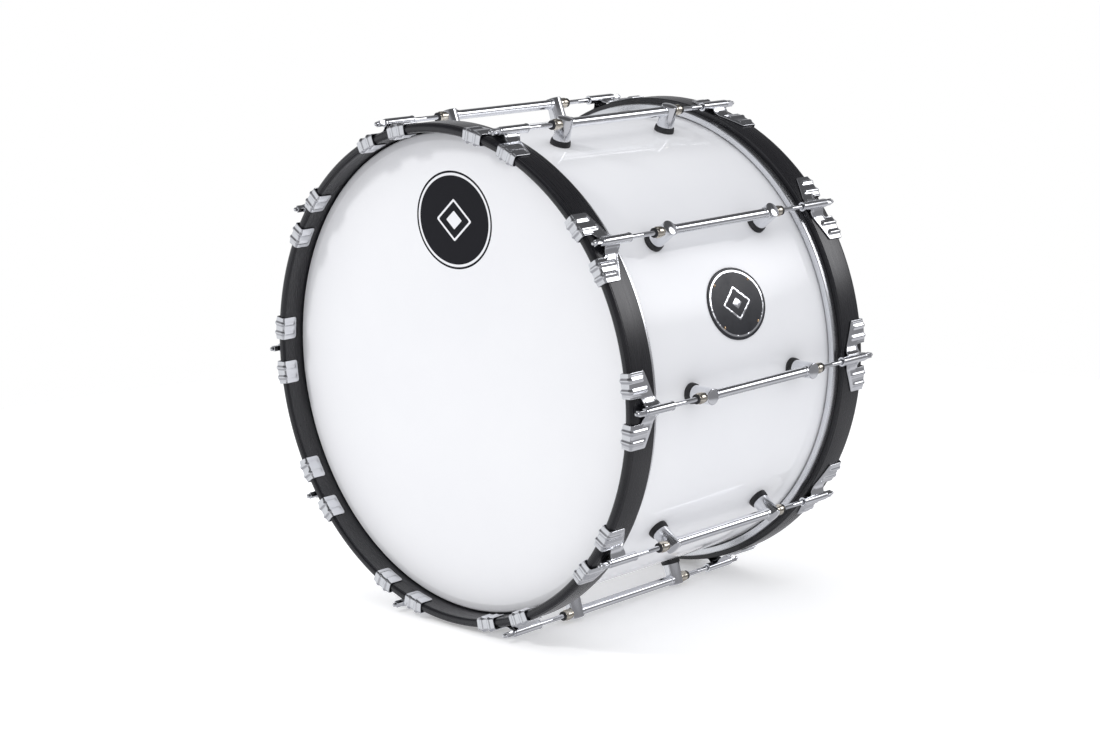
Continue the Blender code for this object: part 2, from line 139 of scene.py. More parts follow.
def softened(corners, steps=6):
    """Closed outline in which each corner (x, y, radius) becomes an arc of that radius."""
    points = []
    for i, (x, y, radius) in enumerate(corners):
        here = Vector((x, y))
        if radius == 0:
            points.append(here)
            continue
        before = (Vector(corners[i - 1][:2]) - here).normalized()
        after = (Vector(corners[(i + 1) % len(corners)][:2]) - here).normalized()
        half = before.angle(after) / 2
        centre = here + (before + after).normalized() * radius / math.sin(half)
        start = here + before * radius / math.tan(half) - centre
        end = here + after * radius / math.tan(half) - centre
        turn = math.atan2(start.x * end.y - start.y * end.x, start.dot(end))
        for k in range(steps + 1):
            points.append(centre + Matrix.Rotation(turn * k / steps, 2) @ start)
    return points


def turned(outline, sides, closed=True):
    """Bmesh of a (radius, height) outline turned round Z. An open one starts and ends on Z."""
    bm = bmesh.new()
    rings = []
    for radius, height in outline:
        if radius < 1e-9:
            rings.append([bm.verts.new((0, 0, height))] * sides)
            continue
        rings.append([
            bm.verts.new((radius * math.cos(2 * math.pi * k / sides),
                          radius * math.sin(2 * math.pi * k / sides), height))
            for k in range(sides)])
    following = rings[1:] + rings[:1] if closed else rings[1:]
    for low, high in zip(rings, following):
        for k in range(sides):
            corners = [low[k], low[(k + 1) % sides], high[(k + 1) % sides], high[k]]
            bm.faces.new(list(dict.fromkeys(corners)))
    bmesh.ops.recalc_face_normals(bm, faces=bm.faces)
    return bm


def to_mesh(bm, name, matrix=Matrix.Identity(4), crease=35):
    bm.transform(matrix)
    mesh = bpy.data.meshes.new(name)
    bm.to_mesh(mesh)
    bm.free()
    mesh.shade_smooth()
    mesh.set_sharp_from_angle(angle=math.radians(crease))
    return mesh


def boxed(size, centre, bevel):
    """Bmesh of a box with rounded edges."""
    bm = bmesh.new()
    bmesh.ops.create_cube(bm, size=1.0, matrix=Matrix.Translation(centre)
                          @ Matrix.Diagonal((*size, 1.0)))
    bmesh.ops.bevel(bm, geom=bm.edges[:], offset=bevel, segments=3,
                    profile=0.5, affect="EDGES")
    return bm


def combined(name, base, unions=(), cuts=(), crease=35):
    """Boolean of several meshes, as one new mesh."""
    item = bpy.data.objects.new(name, base)
    bpy.context.scene.collection.objects.link(item)
    helpers = []
    for operation, meshes in (("UNION", unions), ("DIFFERENCE", cuts)):
        for mesh in meshes:
            other = bpy.data.objects.new(name + "_tool", mesh)
            bpy.context.scene.collection.objects.link(other)
            helpers.append(other)
            modifier = item.modifiers.new(operation.lower(), "BOOLEAN")
            modifier.operation = operation
            modifier.solver = "EXACT"
            modifier.object = other
    bpy.context.view_layer.update()
    graph = bpy.context.evaluated_depsgraph_get()
    mesh = bpy.data.meshes.new_from_object(item.evaluated_get(graph))
    mesh.name = name
    mesh.shade_smooth()
    mesh.set_sharp_from_angle(angle=math.radians(crease))
    for used in [item, *helpers]:
        bpy.data.objects.remove(used)
    return mesh


def ellipse(half_width, half_height, steps, centre=(0, 0)):
    return [Vector((centre[0] + half_width * math.cos(2 * math.pi * k / steps),
                    centre[1] + half_height * math.sin(2 * math.pi * k / steps)))
            for k in range(steps)]


def diamond(half_width, half_height, round_by, centre=(0, 0)):
    x, y = centre
    return softened([(x + half_width, y, round_by), (x, y + half_height, round_by),
                     (x - half_width, y, round_by), (x, y - half_height, round_by)], 4)


def dense(loop, spacing):
    """The same loop with points no further apart than a spacing."""
    points = []
    for a, b in zip(loop, loop[1:] + loop[:1]):
        count = max(1, math.ceil((b - a).length / spacing))
        points += [a.lerp(b, k / count) for k in range(count)]
    return points


def inward(loop, distance):
    """The loop moved to its inner side, for a loop that runs anticlockwise."""
    moved = []
    for i, here in enumerate(loop):
        along_edge = (loop[(i + 1) % len(loop)] - loop[i - 1]).normalized()
        moved.append(here + Vector((-along_edge.y, along_edge.x)) * distance)
    return moved


def edge_distance(points, loops):
    """Distance of each point to the nearest edge of the loops, and whether it is inside."""
    p = np.array([tuple(q) for q in points]).reshape(-1, 2)
    nearest = np.full(len(p), np.inf)
    odd = np.zeros(len(p), bool)
    for loop in loops:
        a = np.array([tuple(q) for q in loop])
        b = np.roll(a, -1, axis=0)
        for (ax, ay), (bx, by) in zip(a, b):
            d = np.array([bx - ax, by - ay])
            along_edge = np.clip(((p - (ax, ay)) @ d) / max(d @ d, 1e-18), 0, 1)
            gap = np.hypot(p[:, 0] - ax - along_edge * d[0], p[:, 1] - ay - along_edge * d[1])
            nearest = np.minimum(nearest, gap)
            if ay != by:
                crosses = (ay > p[:, 1]) != (by > p[:, 1])
                odd ^= crosses & (p[:, 0] < (bx - ax) * (p[:, 1] - ay) / (by - ay) + ax)
    return nearest, odd


def formed_plate(loops, grid, place, top, bottom, edge_steps=()):
    """Closed solid over a flat outline with holes.

    loops[0] is the outline, anticlockwise, and the rest are holes. place(u, v, height) gives
    a point in space, and top and bottom give a height from (u, v, distance to the edge).
    """
    points = [p for loop in loops for p in loop]
    edges = []
    start = 0
    for loop in loops:
        edges += [(start + k, start + (k + 1) % len(loop)) for k in range(len(loop))]
        start += len(loop)
    for distance in edge_steps:
        points += inward(loops[0], distance)
    clear_of_edge = max(edge_steps, default=0) + 0.35 * MM
    near, odd = edge_distance(grid, loops)
    points += [p for p, gap, within in zip(grid, near, odd) if within and gap > clear_of_edge]
    flat, _, triangles, *_ = delaunay_2d_cdt(points, edges, [], 0, 1e-7)
    middles = [(flat[a] + flat[b] + flat[c]) / 3 for a, b, c in triangles]
    kept = [t for t, within in zip(triangles, edge_distance(middles, loops)[1]) if within]
    gaps, _ = edge_distance(flat, loops)
    used = {v for t in kept for v in t}

    bm = bmesh.new()
    upper = {v: bm.verts.new(place(*flat[v], top(*flat[v], gaps[v]))) for v in used}
    lower = {v: bm.verts.new(place(*flat[v], bottom(*flat[v], gaps[v]))) for v in used}
    count = {}
    for a, b, c in kept:
        bm.faces.new((upper[a], upper[b], upper[c]))
        bm.faces.new((lower[c], lower[b], lower[a]))
        for pair in ((a, b), (b, c), (c, a)):
            count[pair] = count.get(pair, 0) + 1
    for a, b in count:
        if (b, a) not in count:
            bm.faces.new((upper[b], upper[a], lower[a], lower[b]))
    bmesh.ops.recalc_face_normals(bm, faces=bm.faces)
    return bm


def smooth_step(value):
    value = min(max(value, 0.0), 1.0)
    return value * value * (3 - 2 * value)


def rolled_edge(gap, radius):
    """How much lower a rounded edge is at a distance from it."""
    if gap >= radius:
        return 0.0
    return radius - math.sqrt(radius ** 2 - (radius - gap) ** 2)


# ---------------------------------------------------------------- finishes

class Finish:
    """A node material built round one Principled shader."""

    def __init__(self, name, **sockets):
        self.material = bpy.data.materials.new(name)
        self.material.use_nodes = True
        self.tree = self.material.node_tree
        self.shader = self.tree.nodes["Principled BSDF"]
        for socket, value in sockets.items():
            self.shader.inputs[socket.replace("_", " ")].default_value = value
        self.place = self.add("ShaderNodeTexCoord").outputs["Object"]
        self.random = self.add("ShaderNodeObjectInfo").outputs["Random"]

    def add(self, kind, **settings):
        node = self.tree.nodes.new(kind)
        for key, value in settings.items():
            setattr(node, key, value)
        return node

    def feed(self, node, socket, value):
        if isinstance(value, bpy.types.NodeSocket):
            self.tree.links.new(value, node.inputs[socket])
        else:
            node.inputs[socket].default_value = value

    def math(self, operation, a, b=0.0):
        node = self.add("ShaderNodeMath", operation=operation)
        self.feed(node, 0, a)
        self.feed(node, 1, b)
        return node.outputs[0]

    def noise(self, scale, detail=3.0, where=None, roughness=0.5):
        """Noise over a place in the object, different on each copy of a shared mesh."""
        node = self.add("ShaderNodeTexNoise", noise_dimensions="4D")
        self.feed(node, "Vector", where or self.place)
        self.feed(node, "Scale", scale)
        self.feed(node, "Detail", detail)
        self.feed(node, "Roughness", roughness)
        self.feed(node, "W", self.math("MULTIPLY", self.random, 37.0))
        return node.outputs["Fac"]

    def ramp(self, value, from_low, from_high, low, high):
        """Value from one range moved to another, clamped."""
        node = self.add("ShaderNodeMapRange")
        for socket, number in (("Value", value), ("From Min", from_low), ("From Max", from_high),
                               ("To Min", low), ("To Max", high)):
            self.feed(node, socket, number)
        return node.outputs["Result"]

    def blend(self, factor, first, second):
        node = self.add("ShaderNodeMix", data_type="RGBA")
        self.feed(node, 0, factor)
        for socket, colour in ((6, first), (7, second)):
            self.feed(node, socket, colour if not isinstance(colour, tuple) else (*colour, 1.0))
        return node.outputs[2]

    def tint(self, value, low, high, first, second):
        """Colour that goes from the first to the second as a value goes from low to high."""
        return self.blend(self.ramp(value, low, high, 0.0, 1.0), first, second)

    def stretched(self, factors):
        node = self.add("ShaderNodeVectorMath", operation="MULTIPLY")
        self.feed(node, 0, self.place)
        self.feed(node, 1, factors)
        return node.outputs[0]

    def round_the_axis(self, along_ring, across_ring):
        """Place for streaks that run round a ring turned about the object's Z axis."""
        split = self.add("ShaderNodeSeparateXYZ")
        self.feed(split, 0, self.place)
        flat = self.add("ShaderNodeCombineXYZ")
        self.feed(flat, 0, split.outputs[0])
        self.feed(flat, 1, split.outputs[1])
        length = self.add("ShaderNodeVectorMath", operation="LENGTH")
        self.feed(length, 0, flat.outputs[0])
        heading = self.add("ShaderNodeVectorMath", operation="NORMALIZE")
        self.feed(heading, 0, flat.outputs[0])
        scaled = self.add("ShaderNodeVectorMath", operation="SCALE")
        self.feed(scaled, 0, heading.outputs[0])
        self.feed(scaled, "Scale", along_ring)
        across = self.math("ADD", self.math("MULTIPLY", split.outputs[2], across_ring),
                           self.math("MULTIPLY", length.outputs["Value"], across_ring))
        lift = self.add("ShaderNodeCombineXYZ")
        self.feed(lift, 2, across)
        place = self.add("ShaderNodeVectorMath", operation="ADD")
        self.feed(place, 0, scaled.outputs[0])
        self.feed(place, 1, lift.outputs[0])
        return place.outputs[0]

    def radius(self):
        split = self.add("ShaderNodeSeparateXYZ")
        self.feed(split, 0, self.place)
        squares = self.math("ADD", self.math("POWER", split.outputs[0], 2.0),
                            self.math("POWER", split.outputs[1], 2.0))
        return self.math("SQRT", squares)

    def bump(self, height, distance, strength=1.0, under=None):
        node = self.add("ShaderNodeBump")
        self.feed(node, "Height", height)
        self.feed(node, "Distance", distance)
        self.feed(node, "Strength", strength)
        if under is not None:
            self.feed(node, "Normal", under)
        return node.outputs["Normal"]

    def surface(self, colour=None, roughness=None, normal=None):
        sockets = {"Base Color": colour, "Roughness": roughness, "Normal": normal}
        for socket, value in sockets.items():
            if value is not None:
                self.feed(self.shader, socket, value)
        return self.material


def white_lacquer():
    """Gloss white lacquer with a faint orange peel and hairline polishing marks."""
    f = Finish("shell_lacquer", Coat_Weight=0.12, Coat_Roughness=0.03, IOR=1.40)
    mottle = f.noise(9.0, 4.0)
    colour = f.tint(mottle, 0.3, 0.7, (0.845, 0.85, 0.875), (0.875, 0.88, 0.90))
    marks = f.noise(1.0, 6.0, f.stretched((40.0, 900.0, 40.0)), 0.7)
    roughness = f.ramp(marks, 0.35, 0.8, 0.055, 0.16)
    peel = f.bump(f.noise(260.0, 2.0), 0.00004, 0.5)
    return f.surface(colour, roughness, peel)


def shell_wood():
    """Bare plies of the shell: grain round the inside and thin layers in the edge."""
    f = Finish("shell_wood", Coat_Weight=0.1, Coat_Roughness=0.3)
    grain = f.noise(1.0, 8.0, f.round_the_axis(14.0, 420.0), 0.65)
    bands = f.noise(1.0, 3.0, f.round_the_axis(2.5, 30.0))
    plies = f.math("SINE", f.math("MULTIPLY", f.radius(), 5200.0))
    layered = f.ramp(plies, -0.2, 0.2, 0.0, 0.35)
    warm = f.tint(grain, 0.3, 0.7, (0.50, 0.33, 0.19), (0.72, 0.53, 0.34))
    toned = f.blend(f.ramp(bands, 0.35, 0.65, 0.0, 0.4), warm, (0.40, 0.25, 0.14))
    colour = f.blend(layered, toned, (0.62, 0.45, 0.29))
    normal = f.bump(grain, 0.0002, 0.4)
    return f.surface(colour, f.ramp(grain, 0.3, 0.7, 0.38, 0.6), normal)


def hoop_paint():
    """Satin black paint, sanded round the hoop, rubbed lighter in a few places."""
    f = Finish("hoop_black", IOR=1.55, Coat_Weight=0.05, Coat_Roughness=0.20)
    streaks = f.noise(1.0, 5.0, f.round_the_axis(7.0, 2600.0), 0.6)
    broad = f.noise(1.0, 3.0, f.round_the_axis(5.0, 160.0))
    tone = f.math("ADD", f.math("MULTIPLY", streaks, 0.7), f.math("MULTIPLY", broad, 0.3))
    colour = f.tint(tone, 0.35, 0.65, (0.006, 0.006, 0.008), (0.013, 0.013, 0.016))
    rubbed = f.ramp(f.noise(60.0, 6.0, None, 0.7), 0.66, 0.78, 0.0, 0.35)
    colour = f.blend(rubbed, colour, (0.034, 0.034, 0.038))
    roughness = f.ramp(streaks, 0.3, 0.7, 0.22, 0.34)
    return f.surface(colour, roughness, f.bump(streaks, 0.00002, 0.20))


def chrome():
    """Bright chrome plate with soft smudges and fine handling scratches."""
    f = Finish("chrome", Metallic=1.0)
    smudge = f.noise(55.0, 5.0, None, 0.6)
    scratches = f.noise(1.0, 4.0, f.stretched((300.0, 5200.0, 900.0)), 0.7)
    colour = f.tint(smudge, 0.35, 0.7, (0.82, 0.83, 0.855), (0.74, 0.75, 0.785))
    roughness = f.math("ADD", f.ramp(smudge, 0.35, 0.7, 0.08, 0.15),
                       f.ramp(scratches, 0.62, 0.80, 0.0, 0.10))
    normal = f.bump(scratches, 0.00002, 0.25, f.bump(f.noise(140.0, 2.0), 0.00006, 0.25))
    return f.surface(colour, roughness, normal)


def aluminium():
    """Drawn aluminium of the flesh hoop with lines round the ring."""
    f = Finish("flesh_hoop_aluminium", Metallic=1.0)
    lines = f.noise(1.0, 5.0, f.round_the_axis(9.0, 3200.0), 0.65)
    colour = f.tint(lines, 0.3, 0.7, (0.74, 0.75, 0.78), (0.86, 0.87, 0.89))
    roughness = f.ramp(lines, 0.3, 0.7, 0.22, 0.34)
    return f.surface(colour, roughness, f.bump(lines, 0.00001, 0.15))


def coated_film():
    """White coated polyester film: a fine dry grain with slight clouding."""
    f = Finish("head_film", IOR=1.45)
    cloud = f.noise(7.0, 5.0, None, 0.55)
    grain = f.noise(1500.0, 3.0, None, 0.6)
    colour = f.tint(cloud, 0.3, 0.7, (0.795, 0.797, 0.815), (0.82, 0.822, 0.835))
    colour = f.blend(f.ramp(grain, 0.35, 0.7, 0.0, 0.10), colour, (0.75, 0.755, 0.775))
    roughness = f.ramp(grain, 0.3, 0.7, 0.42, 0.60)
    return f.surface(colour, roughness, f.bump(grain, 0.00010, 0.25))


def enamel():
    """Black stoved enamel with a slight haze."""
    f = Finish("badge_enamel", IOR=1.38, Coat_Weight=0.05, Coat_Roughness=0.15)
    haze = f.noise(90.0, 5.0, None, 0.6)
    colour = f.tint(haze, 0.3, 0.75, (0.018, 0.019, 0.023), (0.032, 0.033, 0.039))
    roughness = f.ramp(haze, 0.3, 0.7, 0.30, 0.46)
    return f.surface(colour, roughness, f.bump(f.noise(900.0), 0.00004, 0.3))


def printed_ink():
    """Black ink printed on the coated film, which shows the film's grain."""
    f = Finish("printed_ink", IOR=1.25)
    grain = f.noise(1500.0, 3.0, None, 0.6)
    colour = f.tint(grain, 0.35, 0.7, (0.006, 0.006, 0.009), (0.012, 0.012, 0.016))
    return f.surface(colour, f.ramp(grain, 0.3, 0.7, 0.38, 0.55), f.bump(grain, 0.00008, 0.25))


def rubber():
    """Black rubber with a dull bloom, also used for the nylon rings in the nuts."""
    f = Finish("gasket_rubber")
    grain = f.noise(700.0, 4.0, None, 0.6)
    bloom = f.noise(70.0, 4.0)
    colour = f.tint(bloom, 0.35, 0.7, (0.012, 0.012, 0.014), (0.032, 0.032, 0.035))
    return f.surface(colour, f.ramp(grain, 0.3, 0.7, 0.48, 0.68), f.bump(grain, 0.00010, 0.4))


def nickel():
    """Warm bright nickel of the swivel nuts."""
    f = Finish("nut_nickel", Metallic=1.0)
    cloud = f.noise(160.0, 4.0)
    colour = f.tint(cloud, 0.3, 0.7, (0.72, 0.68, 0.60), (0.60, 0.55, 0.47))
    roughness = f.ramp(cloud, 0.3, 0.7, 0.12, 0.26)
    return f.surface(colour, roughness, f.bump(f.noise(900.0), 0.00003, 0.3))


def brass():
    """Brass of the badge's rivets, with a slight tarnish."""
    f = Finish("rivet_brass", Metallic=1.0)
    cloud = f.noise(300.0, 4.0)
    colour = f.tint(cloud, 0.3, 0.7, (0.72, 0.52, 0.33), (0.55, 0.38, 0.23))
    roughness = f.ramp(cloud, 0.3, 0.7, 0.2, 0.34)
    return f.surface(colour, roughness, f.bump(f.noise(1200.0), 0.00003, 0.3))


LACQUER = white_lacquer()
WOOD = shell_wood()
PAINT = hoop_paint()
CHROME = chrome()
ALUMINIUM = aluminium()
FILM = coated_film()
ENAMEL = enamel()
INK = printed_ink()
RUBBER = rubber()
NICKEL = nickel()
BRASS = brass()


def placed(mesh, matrix):
    """Copy of a mesh, moved to its place on the drum."""
    copy = mesh.copy()
    copy.transform(matrix)
    return copy


def piece(name, mesh, body, finish, replaces=(), matrix=Matrix.Identity(4)):
    """A visible piece in its place, riding a CAD body and standing for CAD nodes."""
    item = bpy.data.objects.new(name, mesh)
    bpy.context.scene.collection.objects.link(item)
    item.matrix_world = matrix
    if not mesh.materials:
        mesh.materials.append(finish)
    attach(item, body)
    if replaces:
        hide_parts(*replaces)


# ---------------------------------------------------------------- shell, heads and hoops

def vent_turn():
    """Turn that takes Z to the outward direction at the vent."""
    low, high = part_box("vent_grommet")
    middle = (low + high) / 2
    outward = Vector((middle.x, 0, middle.z)).normalized()
    return Vector((0, 0, 1)).rotation_difference(outward).to_matrix().to_4x4()


def make_shell():
    """Shell with its bearing edges and vent hole, lacquered outside and bare wood inside."""
    crest = 3.4 * MM
    inner = SHELL_RADIUS - SHELL_WALL
    outline = []
    for side in (1, -1):
        half = [
            (inner, side * (EDGE_REACH - SHELL_WALL + crest), 0.8 * MM),
            (SHELL_RADIUS - crest, side * EDGE_REACH, 0.6 * MM),
            (SHELL_RADIUS, side * EDGE_REACH, 2.6 * MM),
        ]
        outline += half if side > 0 else half[::-1]
    bm = turned(softened(outline), RING_SIDES)
    wall = to_mesh(bm, "shell_wall", Z_TO_FRONT)
    hole_radius = 6.5 * MM
    foot, top = inner - 20 * MM, SHELL_RADIUS + 20 * MM
    hole = turned([(0, foot), (hole_radius, foot), (hole_radius, top), (0, top)], 32, closed=False)
    mesh = combined("shell", wall, cuts=[to_mesh(hole, "vent_hole", vent_turn())])
    mesh.materials.clear()
    mesh.materials.append(LACQUER)
    mesh.materials.append(WOOD)
    lacquered = SHELL_RADIUS - 2.2 * MM
    for face in mesh.polygons:
        centre = face.center
        face.material_index = 0 if math.hypot(centre.x, centre.z) > lacquered else 1
    mesh.transform(Z_TO_FRONT.inverted())
    piece("shell_wall", mesh, "shell", LACQUER, ["shell"], Z_TO_FRONT)


def make_head(side):
    """Film with its collar, and the flesh hoop that holds the collar."""
    outward = SIDES[side] @ Z_TO_FRONT
    inner = COLLAR_RADIUS - FILM_THICKNESS
    shoulder = 5.0 * MM
    under = FILM_REACH - FILM_THICKNESS
    corners = [
        (0, FILM_REACH, 0), (COLLAR_RADIUS - 2.0 * shoulder, FILM_REACH, 8 * MM),
        (COLLAR_RADIUS, FILM_REACH - 0.35 * shoulder, 3.2 * MM), (COLLAR_RADIUS, COLLAR_FOOT, 0),
        (inner, COLLAR_FOOT, 0), (inner, under - 0.35 * shoulder, 2.5 * MM),
        (COLLAR_RADIUS - 2.0 * shoulder, under, 8 * MM), (0, under, 0),
    ]
    mesh = to_mesh(turned(softened(corners), RING_SIDES, closed=False), side + "_film")
    piece(side + "_film", mesh, side + "_head", FILM, [side + "_head_film"], outward)

    floor_inner = inner - 1.7 * MM
    wall_inner = FLESH_RADIUS - FLESH_WALL
    floor = FLESH_LOW + FLESH_WALL
    corners = [
        (wall_inner, FLESH_HIGH, 0.35 * MM), (FLESH_RADIUS, FLESH_HIGH, 0.5 * MM),
        (FLESH_RADIUS, FLESH_LOW, 1.1 * MM), (floor_inner, FLESH_LOW, 0.4 * MM),
        (floor_inner, floor, 0.3 * MM), (wall_inner, floor, 0.5 * MM),
    ]
    mesh = to_mesh(turned(softened(corners), RING_SIDES), side + "_flesh_ring")
    piece(side + "_flesh_ring", mesh, side + "_head", ALUMINIUM,
          [side + "_flesh_hoop"], outward)


def make_counterhoop(side):
    """Wooden hoop with a bull-nosed front that starts from a fine step."""
    inner = HOOP_RADIUS - HOOP_WALL
    nose = 5.2 * MM
    step = 0.45 * MM
    corners = [
        (inner, HOOP_BACK, 0.8 * MM), (inner, HOOP_FRONT - 0.1 * MM, 4.6 * MM),
        (inner + 4.9 * MM, HOOP_FRONT, 1.2 * MM),
        (HOOP_RADIUS - step, HOOP_FRONT, nose),
        (HOOP_RADIUS - step, HOOP_FRONT - nose - step, 0.12 * MM),
        (HOOP_RADIUS, HOOP_FRONT - nose - 1.6 * step, 0.3 * MM),
        (HOOP_RADIUS, HOOP_BACK, 1.0 * MM),
    ]
    mesh = to_mesh(turned(softened(corners), RING_SIDES), side + "_hoop")
    piece(side + "_hoop", mesh, side + "_hoop", PAINT, [side + "_counterhoop"],
          SIDES[side] @ Z_TO_FRONT)


# ---------------------------------------------------------------- claws and rods

def fold(along_path, height):
    """Radius and reach of a point on the claw's bent sheet.

    The path starts at the back of the outer plate, runs out over the hoop's front edge and
    down its inner side. Height is measured from the sheet's hoop side.
    """
    plate = HOOP_RADIUS + CLAW_CLEARANCE
    front = HOOP_FRONT + CLAW_CLEARANCE
    leg = HOOP_RADIUS - HOOP_WALL - CLAW_CLEARANCE
    arc = (CLAW_BEND + CLAW_SHEET / 2) * math.pi / 2
    straight = front - CLAW_BEND - CLAW_BACK
    across = plate - leg - 2 * CLAW_BEND
    s = along_path
    if s < straight:
        return plate + height, CLAW_BACK + s
    s -= straight
    if s < arc:
        turn = s / arc * math.pi / 2
        return (plate - CLAW_BEND + (CLAW_BEND + height) * math.cos(turn),
                front - CLAW_BEND + (CLAW_BEND + height) * math.sin(turn))
    s -= arc
    if s < across:
        return plate - CLAW_BEND - s, front + height
    s -= across
    if s < arc:
        turn = s / arc * math.pi / 2
        return (leg + CLAW_BEND - (CLAW_BEND + height) * math.sin(turn),
                front - CLAW_BEND + (CLAW_BEND + height) * math.cos(turn))
    return leg - height, front - CLAW_BEND - (s - arc)


def claw_sheet():
    """The stamped sheet: two ribbed hooks and the web that rises to the sleeve."""
    front = HOOP_FRONT + CLAW_CLEARANCE
    arc = (CLAW_BEND + CLAW_SHEET / 2) * math.pi / 2
    straight = front - CLAW_BEND - CLAW_BACK
    across = HOOP_WALL + 2 * CLAW_CLEARANCE - 2 * CLAW_BEND
    end = straight + 2 * arc + across + CLAW_LEG - CLAW_BEND
    notch = HOOP_FRONT - NOTCH_DEPTH - CLAW_BACK
    wide = CLAW_HALF_WIDTH
    neck, neck_start = 13.0 * MM, 4.0 * MM
    side_start = 16.5 * MM
    half = [
        (7.0 * MM, 0, 1.0 * MM), (neck, neck_start, 9.0 * MM), (wide, side_start, 2.5 * MM),
        (wide, end, 3.5 * MM), (NOTCH_HALF_WIDTH, end, 3.5 * MM),
        (NOTCH_HALF_WIDTH, notch, 4.0 * MM),
    ]
    corners = half + [(-t, s, radius) for t, s, radius in reversed(half)]
    outline = dense(softened(corners), 1.2 * MM)

    bends = (straight - MM, straight + arc + MM, straight + arc + across - MM,
             straight + 2 * arc + across + MM)
    rows = []
    s = 0.6 * MM
    while s < end:
        rows.append(s)
        in_bend = bends[0] < s < bends[1] or bends[2] < s < bends[3]
        s += 0.55 * MM if in_bend else 1.25 * MM
    spacing = 1.05 * MM
    columns = [(-wide + 0.6 * MM) + k * spacing for k in range(int(2 * wide / spacing))]
    grid = [Vector((t, s)) for s in rows for t in columns]

    hook_middle = (NOTCH_HALF_WIDTH + wide) / 2
    rib_offset = 6.1 * MM
    rib_half_width = 3.4 * MM
    rib_height = 1.6 * MM
    slope = (side_start - neck_start) / (wide - neck)
    web_height, web_foot, web_top = 6.0 * MM, 16.0 * MM, 5.0 * MM

    def rib(t, s):
        """Two rounded ribs on each hook, over both bends."""
        from_middle = abs(t) - hook_middle
        centre = math.copysign(rib_offset, from_middle)
        across_rib = abs(from_middle - centre) / rib_half_width
        back_edge = neck_start + slope * (hook_middle + centre - neck)
        from_back = (s - back_edge - 4.5 * MM) / (4.0 * MM)
        from_tip = (end - 3.6 * MM - s) / (2.6 * MM)
        along_rib = min(from_back, from_tip)
        if across_rib >= 1 or along_rib <= 0:
            return 0.0
        crown = math.cos(across_rib * math.pi / 2) ** 1.5
        return rib_height * crown * math.sqrt(smooth_step(along_rib))

    def web(t):
        """Cove that lifts the sheet to the sleeve's side."""
        rise = (web_foot - max(abs(t), web_top)) / (web_foot - web_top)
        return web_height * max(0.0, rise) ** 2

    def top(t, s, gap):
        dish = 0.4 * MM * smooth_step((gap - 2.0 * MM) / (1.8 * MM))
        return CLAW_SHEET - 0.4 * MM + dish + rib(t, s) + web(t) - rolled_edge(gap, 0.6 * MM)

    def bottom(t, s, gap):
        return web(t) + rolled_edge(gap, 0.3 * MM)

    def place(t, s, height):
        radius, reach = fold(s, height)
        angle = t / (HOOP_RADIUS + CLAW_CLEARANCE)
        return radius * math.cos(angle), -reach, radius * math.sin(angle)

    bm = formed_plate([outline], grid, place, top, bottom,
                      edge_steps=(0.12 * MM, 0.32 * MM, 0.62 * MM))
    return to_mesh(bm, "claw_sheet", crease=40)


def claw_mesh():
    """Claw at the first station: the stamped sheet with a bored sleeve."""
    lip = 0.35 * MM
    corners = [
        (0, SLEEVE_END, 0), (SLEEVE_RADIUS + lip, SLEEVE_END, 0.4 * MM),
        (SLEEVE_RADIUS + lip, SLEEVE_END + 1.8 * MM, 0.2 * MM),
        (SLEEVE_RADIUS, SLEEVE_END + 2.1 * MM, 0.2 * MM),
        (SLEEVE_RADIUS, SLEEVE_FRONT, 0.8 * MM), (0, SLEEVE_FRONT, 0),
    ]
    stand = Matrix.Translation((ROD_LINE, 0, 0)) @ Z_TO_FRONT
    sleeve = to_mesh(turned(softened(corners), 40, closed=False), "sleeve", stand)
    bore = to_mesh(turned([(0, SLEEVE_END - MM), (SLEEVE_BORE, SLEEVE_END - MM),
                           (SLEEVE_BORE, SLEEVE_FRONT + 8 * MM), (0, SLEEVE_FRONT + 8 * MM)],
                          40, closed=False), "sleeve_bore", stand)
    return combined("claw", claw_sheet(), [sleeve], [bore], crease=38)


def rod_mesh():
    """Tension rod standing on Z: threaded shank, collar, square key head and round tip."""
    collar = SLEEVE_FRONT + 0.3 * MM
    collar_end = collar + 2.4 * MM
    head_end = collar_end + 9.6 * MM
    core, collar_radius = 2.4 * MM, 4.7 * MM
    thread = []
    depth = 0.38 * MM
    turns = int(THREAD_LENGTH / THREAD_PITCH)
    for k in range(turns):
        foot = ROD_END + 1.0 * MM + k * THREAD_PITCH
        thread += [(ROD_RADIUS - depth, foot, 0), (ROD_RADIUS, foot + THREAD_PITCH / 2, 0)]
    corners = [(0, ROD_END, 0), (ROD_RADIUS - 2 * depth, ROD_END, 0.2 * MM), *thread,
               (ROD_RADIUS, collar, 0), (collar_radius, collar, 0.3 * MM),
               (collar_radius, collar_end, 0.7 * MM),
               (core, collar_end, 0), (core, ROD_TIP, 1.9 * MM), (0, ROD_TIP, 0)]
    shank = to_mesh(turned(softened(corners), 28, closed=False), "rod_shank")
    middle = (collar_end + head_end) / 2
    key = to_mesh(boxed((KEY_HEAD, KEY_HEAD, head_end - collar_end + 0.6 * MM), (0, 0, middle),
                        0.55 * MM), "key_head")
    return combined("rod", shank, [key], crease=30)


# ---------------------------------------------------------------- lugs

def on_post(end):
    """Frame at a post: Z outward from the drum's axis."""
    return Matrix.Translation((0, end * POST_REACH, 0)) @ Z_TO_X


